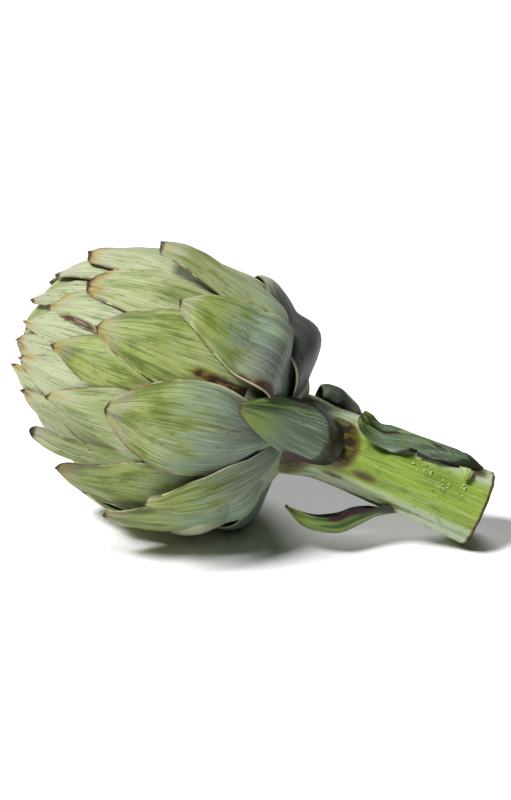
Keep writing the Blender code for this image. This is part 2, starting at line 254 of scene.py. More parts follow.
@dataclass(frozen=True)
class PlantSkin:
    """The living skin of a leaf or stem: a wax-dusted epidermis over parallel veins.

    The wax scatters light softly, so the shine is broad; veins show as fine raised lines.
    """

    name: str
    ground: str
    washes: tuple[Wash, ...]
    roughness: Pair = (0.42, 0.62)
    vein_height: float = 0.10  # mm, of the fine veins
    fold_height: float = 0.30  # mm, of the bundles of veins
    relief: float = 0.8  # how strongly both show
    shine: float = 0.32  # below 0.5, a bare skin's, because wax covers it
    wax: float = 0.02  # its pale sheen at grazing angles
    wax_roughness: float = 0.5
    depth_of_light: float = 0.05  # how much light enters the flesh and comes out again
    light_reach: Triple = (0.81, 1.08, 0.315)  # mm, for red, green and blue

    def sources(self, tree: NodeTree) -> Sources:
        """Adds what a wash may follow.

        Args:
            tree: the material's nodes.

        Returns:
            The outputs of the marks in the mesh, with both margins alike, and of the grains.
        """
        found: Sources = {}
        for mark in Mark:
            read = add_node(tree, "ShaderNodeAttribute", {}, attribute_name=mark.value)
            found[mark] = read.outputs["Fac"]
        margin = add_node(tree, "ShaderNodeMath", {0: found[Mark.ACROSS]}, operation="ABSOLUTE")
        found[Mark.ACROSS] = margin.outputs[0]
        place = add_node(tree, "ShaderNodeAttribute", {}, attribute_name="place")
        for grain in Grain:
            across, along = grain.value
            spot = {"Vector": place.outputs["Vector"], "Scale": (1.0 / across, 1.0 / along, 1.0)}
            scaled = add_node(tree, "ShaderNodeMapping", spot, vector_type="POINT")
            look = {"Vector": scaled.outputs[0], "Scale": 1.0, "Detail": 3.0, "Roughness": 0.55}
            pattern = add_node(tree, "ShaderNodeTexNoise", look, noise_dimensions="3D")
            found[grain] = pattern.outputs[0]
        return found

    def lay_washes(self, tree: NodeTree, sources: Sources) -> NodeSocket:
        """Lays the washes over the ground colour.

        Args:
            tree: the material's nodes.
            sources: what a wash may follow.

        Returns:
            The output that gives the colour.
        """
        colour: Any = linear(self.ground)
        for wash in self.washes:
            amount: Any = wash.strength
            for source, (none, full) in wash.follows.items():
                span = {"Value": sources[source], "From Min": none, "From Max": full}
                mask = add_node(tree, "ShaderNodeMapRange", span, interpolation_type="SMOOTHSTEP")
                both = {0: amount, 1: mask.outputs[0]}
                amount = add_node(tree, "ShaderNodeMath", both, operation="MULTIPLY").outputs[0]
            layers = {0: amount, 6: colour, 7: linear(wash.colour)}
            colour = add_node(tree, "ShaderNodeMix", layers, data_type="RGBA").outputs[2]
        return colour

    def raise_veins(self, tree: NodeTree, sources: Sources) -> Inputs:
        """Raises the fine veins, and their bundles over them.

        Args:
            tree: the material's nodes.
            sources: the outputs of the grains, among others.

        Returns:
            The shader's input for the relief.
        """
        below: Inputs = {}
        for grain, height in ((Grain.FIBRE, self.vein_height), (Grain.STREAK, self.fold_height)):
            form = {"Height": sources[grain], "Strength": self.relief, "Distance": height * MM}
            below = {"Normal": add_node(tree, "ShaderNodeBump", {**form, **below}).outputs[0]}
        return below

    def build(self) -> Material:
        """Builds the finish.

        Returns:
            The material, whose nodes read the marks that the sheet's mesh holds.
        """
        made, tree, shader = new_material(self.name)
        sources = self.sources(tree)
        span = {"Value": sources[Grain.MOTTLE], "From Min": 0.35, "From Max": 0.65}
        ends = {"To Min": self.roughness[0], "To Max": self.roughness[1]}
        set_inputs(
            tree,
            shader,
            {
                "Base Color": self.lay_washes(tree, sources),
                "Roughness": add_node(tree, "ShaderNodeMapRange", {**span, **ends}).outputs[0],
                "Specular IOR Level": self.shine,
                "Sheen Weight": self.wax,
                "Sheen Roughness": self.wax_roughness,
                "Subsurface Weight": self.depth_of_light,
                "Subsurface Radius": self.light_reach,
                "Subsurface Scale": MM,
                **self.raise_veins(tree, sources),
            },
        )
        return made


# Bract skin: grown, not made. Grey-green wax over yellow-green flesh, purple-grey toward the
# root and darkened there as painted shade on bracts turned from the light, with ochre tips that
# dry to brown and thin pale or brown margins.
BRACT_SKIN = PlantSkin(
    name="waxy artichoke bract skin",
    ground="#a9b08d",
    washes=(
        Wash("#87953c", 0.85, {Mark.FRESH: (0.1, 1.0)}),
        Wash("#74862a", 0.9, {Grain.PATCH: (0.44, 0.6), Mark.FRESH: (0.15, 0.95)}),
        Wash("#46591d", 0.75, {Grain.PATCH: (0.52, 0.68), Mark.FRESH: (0.35, 0.9)}),
        Wash("#4f6620", 0.6, {Grain.STREAK: (0.5, 0.66), Mark.FRESH: (0.2, 0.9)}),
        Wash("#7a917a", 0.8, {Grain.PATCH: (0.6, 0.44), Mark.BLOOM: (0.05, 0.5)}),
        Wash("#5f6668", 0.85, {Grain.PATCH: (0.3, 0.52), Mark.BLOOM: (0.35, 0.95)}),
        Wash("#84868a", 0.4, {Grain.FIBRE: (0.44, 0.32), Mark.BLOOM: (0.5, 1.0)}),
        Wash("#c0c6ae", 0.3, {Grain.FIBRE: (0.52, 0.7)}),
        Wash("#46582a", 0.62, {Grain.FIBRE: (0.48, 0.34)}),
        # purple-grey of the skin, and painted shade on the bracts turned from the light, the next
        # wash darkening them nearly to black
        Wash("#4d4850", 0.7, {Grain.STREAK: (0.4, 0.58), Mark.PURPLE: (0.1, 0.9)}),
        Wash("#2c2a2e", 0.85, {Mark.PURPLE: (0.5, 1.0)}),
        Wash("#52612a", 0.5, {Grain.MOTTLE: (0.52, 0.68), Mark.CLUSTER: (0.4, 0.85)}),
        Wash("#36361a", 0.65, {Grain.FRECKLE: (0.60, 0.68), Mark.CLUSTER: (0.4, 0.75)}),
        Wash("#4a3524", 0.8, {Grain.SCAR: (0.66, 0.71)}),
        Wash("#7a5a30", 0.7, {Mark.STAIN: (0.1, 0.6)}),
        Wash("#2f1811", 0.95, {Grain.MOTTLE: (0.30, 0.48), Mark.STAIN: (0.25, 0.75)}),
        Wash("#c6c798", 0.6, {Mark.ACROSS: (0.945, 0.98)}),
        Wash(
            "#54342f", 0.85,
            {Grain.MOTTLE: (0.40, 0.52), Mark.ACROSS: (0.94, 0.98), Mark.ALONG: (0.35, 0.75)},
        ),
        Wash(
            "#6d4a3b", 0.8,
            {Grain.MOTTLE: (0.36, 0.50), Mark.ACROSS: (0.86, 0.94), Mark.ALONG: (0.72, 0.9)},
        ),
        Wash("#a8979c", 0.35, {Grain.FIBRE: (0.36, 0.56), Mark.GOLD: (0.02, 0.3)}),
        Wash("#a1924a", 0.8, {Mark.GOLD: (0.3, 0.9)}),
        Wash("#553630", 0.85, {Grain.MOTTLE: (0.42, 0.56), Mark.GOLD: (0.6, 1.0)}),
        Wash("#3a1f1c", 0.95, {Mark.ALONG: (0.965, 0.985)}),
        Wash("#768145", 0.6, {Mark.INNER: (0.5, 1.0), Mark.ALONG: (1.0, 0.9)}),
    ),
)

# Stem skin: ribbed, juicy and yellow-green where its down is rubbed off, whitish where it isn't.
STEM_SKIN = PlantSkin(
    name="ribbed artichoke stem skin",
    ground="#7d953a",
    washes=(
        Wash("#98ac4c", 0.6, {Grain.STREAK: (0.44, 0.62)}),
        Wash("#5f7c22", 0.6, {Grain.STREAK: (0.46, 0.32)}),
        Wash("#a9b56e", 0.5, {Grain.FIBRE: (0.52, 0.64)}),
        Wash("#4d681c", 0.4, {Grain.FIBRE: (0.44, 0.32)}),
        Wash("#b4bfa4", 0.9, {Grain.STREAK: (0.28, 0.50), Mark.BLOOM: (0.1, 0.9)}),
        Wash("#565a2b", 0.45, {Grain.MOTTLE: (0.56, 0.68)}),
        Wash("#534426", 0.7, {Grain.SCAR: (0.68, 0.74)}),
        # brown scar, bruising and dried rim, and painted shade on the neck under the head
        Wash("#5a471c", 0.85, {Mark.STAIN: (0.1, 0.5)}),
        Wash("#1f150b", 0.92, {Grain.MOTTLE: (0.36, 0.56), Mark.STAIN: (0.35, 0.9)}),
        Wash("#391326", 0.95, {Mark.PURPLE: (0.3, 0.9)}),
    ),
    roughness=(0.25, 0.5),
    vein_height=0.16,
    fold_height=0.4,
    depth_of_light=0.12,
)

# Stem-leaf skin: darker and thinner than a bract's, with purple margins.
LEAF_SKIN = PlantSkin(
    name="thin waxy artichoke leaf skin",
    ground="#506a30",
    washes=(
        Wash("#7f923c", 0.85, {Grain.STREAK: (0.42, 0.62), Mark.FRESH: (0, 0.8)}),
        Wash("#2c3d18", 0.75, {Grain.STREAK: (0.48, 0.34)}),
        # grey wax; on the top leaf it is also painted highlight
        Wash("#748670", 0.85, {Grain.PATCH: (0.3, 0.52), Mark.BLOOM: (0.1, 0.8)}),
        Wash("#3f4d38", 0.6, {Grain.FIBRE: (0.44, 0.6), Mark.BLOOM: (0.2, 0.9)}),
        Wash("#a5aca2", 0.55, {Grain.FIBRE: (0.46, 0.32), Mark.BLOOM: (0.4, 1.0)}),
        Wash("#202b11", 0.55, {Grain.FRECKLE: (0.6, 0.68), Mark.CLUSTER: (0.4, 0.9)}),
        Wash("#767632", 0.8, {Mark.GOLD: (0.1, 0.8)}),
        # purple margins, and the long crease, whose dark purple is partly painted shade of its fold
        Wash("#361022", 0.95, {Grain.MOTTLE: (0.22, 0.4), Mark.PURPLE: (0.2, 0.7)}),
        # painted shade: dark green at a leaf's root, where its steep foot turns from the light;
        # then its brown scar
        Wash("#222d16", 0.92, {Mark.STAIN: (0.05, 0.45)}),
        Wash("#24170d", 0.9, {Grain.MOTTLE: (0.38, 0.54), Mark.STAIN: (0.5, 1.0)}),
        Wash("#44221b", 0.9, {Mark.ALONG: (0.97, 0.995)}),
        # painted shade: the inner face, turned to the stem, darkened as if in shadow
        Wash("#202f16", 0.8, {Mark.INNER: (0.5, 1.0)}),
    ),
    roughness=(0.38, 0.58),
    vein_height=0.12,
)

# Cut pith: a knife's cut through wet pale pith, drying brown at its rim.
CUT_PITH = PlantSkin(
    name="knife-cut artichoke pith",
    ground="#a4aa86",
    washes=(
        Wash("#b8b9aa", 0.8, {Grain.MOTTLE: (0.45, 0.6), Mark.ALONG: (0.75, 0.2)}),
        Wash("#708137", 0.8, {Mark.ALONG: (0.8, 0.92)}),
        Wash("#5e371a", 0.9, {Mark.ALONG: (0.93, 0.99)}),
    ),
    roughness=(0.3, 0.5),
)


@dataclass(frozen=True)
class Sap:
    """Sap that welled out of torn skin and set: smooth half-clear drops with small highlights."""

    name: str = "dried artichoke sap"
    clear: str = "#c2d488"
    clouded: str = "#dfe6b4"
    cloud_mm: float = 0.5  # size of the milky clouds in a drop
    roughness: float = 0.12
    clearness: float = 0.35
    ior: float = 1.36  # sugary water

    def build(self) -> Material:
        """Builds the finish.

        Returns:
            The sap's material.
        """
        made, tree, shader = new_material(self.name)
        place = add_node(tree, "ShaderNodeTexCoord", {})
        spot = {"Vector": place.outputs["Object"], "Scale": 1.0 / (self.cloud_mm * MM)}
        cloud = add_node(tree, "ShaderNodeTexNoise", spot)
        tints = {0: cloud.outputs[0], 6: linear(self.clear), 7: linear(self.clouded)}
        tint = add_node(tree, "ShaderNodeMix", tints, data_type="RGBA")
        drop = {"Base Color": tint.outputs[2], "Roughness": self.roughness}
        drop |= {"Transmission Weight": self.clearness, "IOR": self.ior}
        set_inputs(tree, shader, drop)
        return made


@dataclass(frozen=True)
class Paper:
    """White paper, pressed smooth and left uncoated: it takes soft shadows and has no gloss."""

    name: str = "pressed matt white paper"
    colour: str = "#f4f4f6"
    roughness: float = 0.55

    def build(self) -> Material:
        """Builds the finish.

        Returns:
            The paper's material, plain all over.
        """
        made, tree, shader = new_material(self.name)
        paper = {"Base Color": linear(self.colour), "Roughness": self.roughness}
        set_inputs(tree, shader, paper)
        return made


# --- shells ------------------------------------------------------------------------------------

Place = Callable[[float, float, float], Vector]
Marks = Callable[[float, float], dict[Mark, float]]


@dataclass
class ShellMesh:
    """Gathers thin closed blades into one mesh, with the marks that its skin reads."""

    tip_crowding: float = 1.25  # above 1, the rows lie closer together toward the tip
    margin_crowding: float = 0.86  # above 0, the columns lie closer together toward the margins
    sharp_angle: float = math.radians(60)  # edges that turn more than this stay sharp
    points: list[Vector] = field(default_factory=list)
    faces: list[tuple[int, ...]] = field(default_factory=list)
    places: list[float] = field(default_factory=list)
    marks: dict[Mark, list[float]] = field(default_factory=lambda: {mark: [] for mark in Mark})

    def add_blade(
        self,
        place: Place,
        marks: Marks,
        cells: tuple[int, int],
        size_mm: Pair,
        seed: float,
    ) -> None:
        """Adds a blade with an outer face, an inner face and a rim.

        Args:
            place: a point from (along 0..1, across -1..1, 0 outer or 1 inner).
            marks: the marks at (along, across).
            cells: how many cells along and across.
            size_mm: the blade's length and half width, which set the scale of its patterns.
            seed: moves the patterns, so that no two blades match.
        """
        rows, columns = cells
        start = len(self.points)
        crowding = math.pi / 2 * self.margin_crowding
        for side in (0, 1):
            for row in range(rows + 1):
                along = 1.0 - (1.0 - row / rows) ** self.tip_crowding
                for column in range(columns + 1):
                    across = math.sin((2.0 * column / columns - 1.0) * crowding)
                    across /= math.sin(crowding)
                    self.points.append(place(along, across, side))
                    self.places += [across * size_mm[1], along * size_mm[0], seed]
                    found = marks(along, across)
                    found.setdefault(Mark.ALONG, along)
                    found.setdefault(Mark.ACROSS, across)
                    found[Mark.INNER] = float(side)
                    for mark in Mark:
                        self.marks[mark].append(found.get(mark, 0.0))
        layer = (rows + 1) * (columns + 1)

        def at(side: int, row: int, column: int) -> int:
            """The number of one of the blade's points."""
            return start + side * layer + row * (columns + 1) + column

        for row in range(rows):
            for column in range(columns):
                corners = [(row, column), (row, column + 1)]
                corners += [(row + 1, column + 1), (row + 1, column)]
                self.faces.append(tuple(at(0, *corner) for corner in corners))
                self.faces.append(tuple(at(1, *corner) for corner in reversed(corners)))
        rim = [(0, column) for column in range(columns)]
        rim += [(row, columns) for row in range(rows)]
        rim += [(rows, column) for column in range(columns, 0, -1)]
        rim += [(row, 0) for row in range(rows, 0, -1)]
        for first, second in zip(rim, rim[1:] + rim[:1]):
            self.faces.append((at(0, *second), at(0, *first), at(1, *first), at(1, *second)))

    def finish(self, name: str, skin: Material) -> Object:
        """Turns all that was gathered into a piece.

        Args:
            name: the piece's name.
            skin: its material.

        Returns:
            The piece, in the scene.
        """
        mesh = bpy.data.meshes.new(name)
        mesh.from_pydata(self.points, [], self.faces)
        spots = mesh.attributes.new("place", "FLOAT_VECTOR", "POINT")
        spots.data.foreach_set("vector", self.places)
        for mark, values in self.marks.items():
            held = mesh.attributes.new(mark.value, "FLOAT", "POINT")
            held.data.foreach_set("value", values)
        mesh.materials.append(skin)
        mesh.shade_smooth()
        mesh.set_sharp_from_angle(angle=self.sharp_angle)
        return put_in_scene(name, mesh)


class Slot(Enum):
    """The record's material slots."""

    BRACT = "bract_green"
    STEM = "stem_green"
    LEAF = "leaf_green"


def stand_in(node: str, slot: Slot, pieces: Iterable[Object]) -> None:
    """Puts pieces on the body in place of a solid, and reports each.

    Args:
        node: the solid that they stand for.
        slot: not used.
        pieces: the finished pieces.
    """
    for piece in pieces:
        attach(piece, BODY)
        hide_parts(node)
        log.info("%s: %d faces, for %s", piece.name, len(piece.data.polygons), node)


# --- the head ----------------------------------------------------------------------------------


@dataclass(frozen=True)
class HeadForm:
    """The egg that the bracts lie on, from the neck to the closed tip."""

    length: float = 0.107
    radius: float = 0.051
    pitch: float = math.radians(13.5)  # how far its tip points up
    base: Triple = NECK
    fullest: float = 0.40  # share of the length at which it is widest
    end_room: float = 0.02  # how far the egg would run on past both ends, as a share
    base_fullness: float = 2.5  # 2 gives the end of an ellipse, and more a blunter one
    tip_fullness: float = 2.1
    slope_step: float = 0.004  # share of the length over which its slope is taken
    least_radius: float = 0.0005

    def outline(self, share: float) -> float:
        """The egg's radius.

        Args:
            share: 0 at the neck, 1 at the closed tip.

        Returns:
            The radius there.
        """
        if share < self.fullest:
            off = (self.fullest - share) / (self.fullest + self.end_room)
            power = self.base_fullness
        else:
            off = (share - self.fullest) / (1.0 + self.end_room - self.fullest)
            power = self.tip_fullness
        return self.radius * max(0.0, 1.0 - min(off, 1.0) ** power) ** (1.0 / power)

    def point(self, share: float, turn: float, radius: float) -> Vector:
        """A point round the head's axis.

        Args:
            share: 0 at the neck, 1 at the closed tip.
            turn: 0 at the top, a quarter turn at the front.
            radius: how far it lies from the axis.

        Returns:
            The point.
        """
        axis = Vector((-math.cos(self.pitch), 0.0, math.sin(self.pitch)))
        top = Vector((math.sin(self.pitch), 0.0, math.cos(self.pitch)))
        around = top * math.cos(turn) + Vector((0.0, -1.0, 0.0)) * math.sin(turn)
        return Vector(self.base) + axis * (share * self.length) + around * radius

    def surface(self, share: float, turn: float, rise: float) -> Vector:
        """A point straight over the egg's surface.

        Args:
            share: 0 at the neck, 1 at the closed tip.
            turn: 0 at the top, a quarter turn at the front.
            rise: its height over the egg.

        Returns:
            The point.
        """
        step = self.slope_step
        widening = self.outline(share + step) - self.outline(share - step)
        slope = widening / (2 * step * self.length)
        outward = Vector((1.0, -slope)).normalized()
        beyond = rise * outward.y / self.length
        radius = max(self.outline(share) + rise * outward.x, self.least_radius)
        return self.point(share + beyond, turn, radius)


@dataclass(frozen=True)
class Bract:
    """A bract: (share of the head's length, degrees round it from the top) of root and tip."""

    root: Pair
    tip: Pair
    half_width: float
    flare: float = 0.0008  # how far its tip stands off the head
    lift: float = 0.0  # how far the whole bract lies over its row
    belly: float = 0.0  # how far its lower half bulges
    cup: float = 0.0  # how much deeper its margins lie, toward the root
    roll: float = 0.0  # how far its margins turn up beside the tip
    hook: float = 0.0010  # how far its last few mm bend inward
    widest: float = 0.38  # where along its length it is widest
    root_width: float = 0.62  # as a share of the widest
    blunt: float = 0.10  # width of its tip, as a share of the widest
    roundness: float = 2.0  # 1 narrows to the tip in straight lines, 2 in an arch
    bloom: float = 0.4  # grey wax toward its root
    fresh: float = 0.6  # yellow-green of its flesh
    gold: float = 0.6  # how much of its tip has dried
    purple: float = 0.0  # purple-grey of its root, deepened as painted shade where the bract is turned from the light
    stains: tuple[Triple, ...] = ()  # (along, across, size)


@dataclass(frozen=True)
class BractShape:
    """The form that all bracts share. A span is a stretch of a bract, from root 0 to tip 1."""

    seat: float = 0.0052  # how deep a root lies
    tuck: float = 0.0014  # how much lower the margins lie than the keel
    stack: float = 0.0042  # how much higher the outermost bracts lie than the innermost
    stack_level: float = 0.85  # share of the head at which a tip lies on the egg
    fullness: float = 0.9  # below 1, the sides stay fuller toward the tip
    tip_rounding: float = 0.035  # share of the length in which the tip rounds off
    tip_width: float = 0.12  # the least that the rounding leaves of the tip's width
    flare_start: float = 0.42
    belly_reach: float = 0.44
    roll_span: Pair = (0.6, 0.95)
    hook_span: Pair = (0.84, 1.02)
    keel_span: Pair = (0.45, 0.85)
    keel_width: float = 0.22  # as a share of the half width
    keel_height: float = 0.0006
    narrowest_radius: float = 0.012  # of the egg, for how far a bract's width wraps round it
    thickness: Pair = (0.0012, 0.0004)  # at the midrib and at the margins
    thinning: float = 2.5  # how late toward the margins it thins
    waviness: float = 0.00045
    swell: float = 1.4  # height of its slow waves, in wavinesses
    curl_span: Pair = (0.6, 1.0)
    curl: Pair = (1.6, 4.5)  # of the margins, before and at the tip, likewise

    def outline(self, bract: Bract, along: float) -> float:
        """A bract's width at one place.

        Args:
            bract: the bract's own numbers.
            along: 0 at its root, 1 at its tip.

        Returns:
            The half width as a share of the widest.
        """
        if along < bract.widest:
            return mix(bract.root_width, 1.0, math.sin(along / bract.widest * math.pi / 2))
        off = (along - bract.widest) / (1.0 - bract.widest)
        narrowing = max(0.0, 1.0 - off**bract.roundness) ** self.fullness
        full = bract.blunt + (1.0 - bract.blunt) * narrowing
        end = max(0.0, (along - 1.0 + self.tip_rounding) / self.tip_rounding)
        return full * max(self.tip_width, math.sqrt(max(0.0, 1.0 - end * end)))

    def rise(self, bract: Bract, along: float, across: float, seed: float) -> float:
        """Height of a bract's outer face over the egg.

        Args:
            bract: the bract's own numbers.
            along: 0 at its root, 1 at its tip.
            across: -1 and 1 at its margins.
            seed: moves its waves.

        Returns:
            The height.
        """
        rise = self.stack * (self.stack_level - bract.tip[0]) + bract.lift
        rise -= self.seat * (1.0 - along) ** 2
        rise -= (self.tuck + bract.cup) * across * across * (1.0 - 0.5 * along)
        flaring = max(0.0, (along - self.flare_start) / (1.0 - self.flare_start))
        rise += bract.flare * flaring**2
        swelling = min(1.0, along / self.belly_reach)
        rise += bract.belly * math.sin(math.pi * swelling) ** 2
        rise += bract.roll * across * across * ramp(along, *self.roll_span)
        rise -= bract.hook * ramp(along, *self.hook_span)
        keel = bump_at(across, 0.0, self.keel_width) * ramp(along, *self.keel_span)
        rise += self.keel_height * keel
        # slow waves all over, and quicker ones that curl the margins
        wave = noise.noise(Vector((across * 1.3, along * 4.0, seed)))
        rise += self.waviness * self.swell * wave
        curling = noise.noise(Vector((along * 7.0, across, seed + 9.0))) * abs(across) ** 3
        return rise + self.waviness * mix(*self.curl, ramp(along, *self.curl_span)) * curling


@dataclass
class ArtichokeHead:
    """The flower head: rows of bracts over a solid heart."""

    form: HeadForm = HeadForm()
    shape: BractShape = BractShape()
    cells: tuple[int, int] = (40, 18)  # of a bract, along and across
    # the closing whorls: how far along the head their tips and roots lie, half width, how many
    whorls: tuple[tuple[float, float, float, int], ...] = (
        (0.990, 0.60, 0.0100, 7),
        (1.005, 0.66, 0.0095, 6),
        (1.013, 0.72, 0.0090, 5),
        (1.0195, 0.78, 0.0080, 4),
    )
    whorl_stagger: float = 0.45  # how far each whorl is turned from the last, in bracts
    whorl_lean: float = 6.0  # degrees that a bract of a whorl runs round the head
    whorl_flare: float = 0.0004
    whorl_lift: float = 0.0004
    whorl_drop: float = 0.0003  # how much lower each whorl lies than the last
    whorl_sinking: Triple = (0.006, 135.0, 45.0)  # how deep, where, how wide
    # the spiral of the far side, each pair from the outermost bracts to the innermost
    golden_turn: float = 137.508
    spiral_count: int = 58
    spiral_tips: Pair = (0.40, 0.97)
    spiral_roots: Pair = (-0.01, 0.45)
    spiral_widths: Pair = (0.0165, 0.0098)
    spiral_bloom: Pair = (0.9, 0.0)
    spiral_flares: Pair = (0.0006, 0.0024)  # the least and the most
    spiral_straying: Triple = (4.0, 0.012, 3.0)  # of turn, tip share and lean
    front_sector: Pair = (-58.0, 160.0)  # degrees that the front rows take
    lying_sector: float = 172.0  # beyond this the head lies on the table
    seed: int = 11
    heart_cells: tuple[int, int] = (24, 48)
    heart_size_mm: Pair = (100.0, 150.0)  # its length, and half way round it
    heart_depth: float = 0.0046  # how far it lies under the egg
    heart_end: float = 0.955  # share of the head's length at which it ends
    under_hollow: float = 0.0085  # how much less the head bulges low down beside its tip
    hollow_place: Pair = (0.78, 0.26)  # across the heart's blade, and its width
    hollow_span: Pair = (0.4, 0.75)  # where along the head it starts, is full

    def front_rows(self) -> dict[str, list[Bract]]:
        """Lists the bracts of the front, which are laid out one by one.

        Returns:
            The rows by their pieces' names, each row from the top round to the bottom.
        """
        outer = [
            Bract(
                (-0.01, 6), (0.575, 8.5), 0.0108, 0.0118, 0.0006, 0.0010, hook=0.0034,
                roundness=1.05, blunt=0.38, roll=-0.0006, bloom=0.5, fresh=0.6, gold=0.5,
            ),
            Bract(
                (0.015, 32), (0.45, 29), 0.0152, 0.0015, 0.0012, 0.0054, cup=0.0008,
                # its purple-grey root is partly painted shade on the flank turned from the light
                root_width=0.76, roundness=1.6, bloom=1.0, fresh=1.0, gold=0.5, purple=0.3,
                stains=((0.20, 0.98, 0.12), (0.36, 1.0, 0.06)),
            ),
            Bract(
                (-0.01, 75), (0.56, 79), 0.0183, 0.0020, 0.0010, 0.0012, hook=0.0006,
                widest=0.46, root_width=0.12, bloom=0.9, fresh=0.75,
            ),
            Bract(
                (-0.01, 98), (0.365, 114), 0.0100, 0.0012, 0.0018, roundness=1.6,
                bloom=0.8, fresh=1.0,
            ),
            Bract(
                (-0.01, 142), (0.50, 130), 0.0165, 0.0055, 0.0002, 0.0010, roll=0.0010,
                bloom=0.7, fresh=1.0,
            ),
            Bract(
                (-0.02, 134), (0.30, 152), 0.0150, 0.0004, -0.0010, 0.0030, cup=0.0015,
                bloom=0.7, fresh=0.0,
            ),
            Bract(
                (-0.01, 180), (0.50, 180), 0.0165, 0.0050, 0.0010, 0.0055, cup=0.0030,
                bloom=0.9, fresh=0.9,
            ),
            Bract(
                # painted shade: purple=1.0 darkens this bract, turned away from the light, to a
                # dark purple-grey
                (-0.04, 9), (0.33, -43), 0.0205, 0.0000, -0.0014, 0.0076, cup=0.0012, hook=0.0030,
                root_width=0.5, bloom=1.0, fresh=0.0, purple=1.0,
            ),
        ]
        second = [
            Bract(
                (0.03, 44), (0.69, 48), 0.0165, 0.0012, bloom=0.2, fresh=1.0, gold=0.8,
                stains=(
                    (0.41, 0.40, 0.05), (0.33, 0.46, 0.07), (0.25, 0.52, 0.09), (0.16, 0.56, 0.12),
                ),
            ),
            Bract(
                (0.02, 109), (0.69, 119), 0.0158, 0.0044, roll=0.0006, bloom=0.45, fresh=0.95,
                gold=0.9,
            ),
            Bract((0.04, 156), (0.64, 158), 0.0158, bloom=0.6),
            Bract((0.04, -16), (0.64, -17), 0.0158, 0.0002, -0.0034),
            Bract((0.06, -48), (0.66, -49), 0.0158, 0.0010, bloom=0.5),
        ]
        third = [
            Bract(
                (0.08, 4), (0.82, 3), 0.0160, 0.0046, hook=-0.0004, blunt=0.34, bloom=0.1,
                fresh=0.4, gold=0.8,
            ),
            Bract(
                (0.10, 22), (0.78, 26), 0.0150, 0.0034, hook=0.0016, blunt=0.26, bloom=0.1,
                fresh=0.6, gold=1.0,
            ),
            Bract((0.15, 60), (0.83, 62), 0.0135, 0.0012, bloom=0.1, fresh=1.0, gold=0.8),
            Bract((0.10, 80), (0.79, 88), 0.0160, 0.0018, bloom=0.2, fresh=0.5, gold=0.7),
            Bract(
                (0.15, 110), (0.75, 98), 0.0064, 0.0126, hook=0.0022, roll=0.0016, blunt=0.32,
                roundness=1.5, bloom=0.6, fresh=0.6, gold=0.5,
            ),
            Bract((0.12, 138), (0.76, 140), 0.0150, 0.0000, -0.0070, bloom=0.5),
            Bract((0.12, -28), (0.79, -30), 0.0150, 0.0010, bloom=0.3),
        ]
        fourth = [
            Bract((0.25, 12), (0.92, 8), 0.0130, 0.0038, bloom=0.0, fresh=0.2, gold=0.5),
            Bract(
                (0.25, 36), (0.89, 39), 0.0125, 0.0030, bloom=0.0, fresh=0.4, gold=0.8,
                stains=((0.80, 0.9, 0.12), (0.6, 1.0, 0.10)),
            ),
            Bract((0.25, 74), (0.93, 78), 0.0125, 0.0034, bloom=0.0, fresh=0.3, gold=0.8),
            Bract((0.25, 90), (0.885, 95), 0.0095, 0.0034, bloom=0.1, fresh=0.4, gold=0.9),
            Bract((0.25, 124), (0.85, 124), 0.0125, 0.0000, -0.0085, bloom=0.2),
            Bract((0.25, 152), (0.89, 154), 0.0135, 0.0002, -0.0065, bloom=0.3),
            Bract((0.25, -46), (0.88, -46), 0.0125, 0.0010, bloom=0.1),
        ]
        closing = [
            Bract((0.45, 30), (0.96, 30), 0.0100, 0.0046, bloom=0.0, fresh=0.3),
            Bract((0.45, 50), (0.95, 51), 0.0100, 0.0046, bloom=0.0, fresh=0.3, gold=0.9),
            Bract((0.45, 66), (0.97, 67), 0.0100, 0.0038, bloom=0.0, fresh=0.3, gold=0.9),
            Bract((0.45, 88), (0.965, 90), 0.0070, 0.0030, bloom=0.0, fresh=0.4, gold=0.9),
            Bract((0.45, 126), (0.95, 128), 0.0110, 0.0000, -0.0090, bloom=0.1, fresh=0.4),
            Bract((0.45, 106), (0.93, 108), 0.0100, 0.0000, -0.0040, bloom=0.1, fresh=0.4),
            Bract((0.45, -10), (0.965, -12), 0.0100, 0.0026, bloom=0.0, fresh=0.3),
        ]
        return {
            "bracts_outermost": outer,
            "bracts_second_row": second,
            "bracts_third_row": third,
            "bracts_fourth_row": fourth,
            "bracts_closing": closing + self.whorl_bracts(),
        }

    def whorl_bracts(self) -> list[Bract]:
        """Lists the small bracts that close over the tip, and sink lower toward the table.

        Returns:
            The bracts, whorl by whorl from the outermost.
        """
        found = []
        for whorl, (tip, root, half_width, count) in enumerate(self.whorls):
            for number in range(count):
                turn = 360.0 * (number + whorl * self.whorl_stagger) / count
                depth, middle, width = self.whorl_sinking
                lift = self.whorl_lift - self.whorl_drop * whorl
                lift -= depth * bump_at(turn, middle, width)
                ends = (root, turn), (tip, turn + self.whorl_lean)
                found.append(Bract(*ends, half_width, self.whorl_flare, lift, bloom=0.0))
        return found

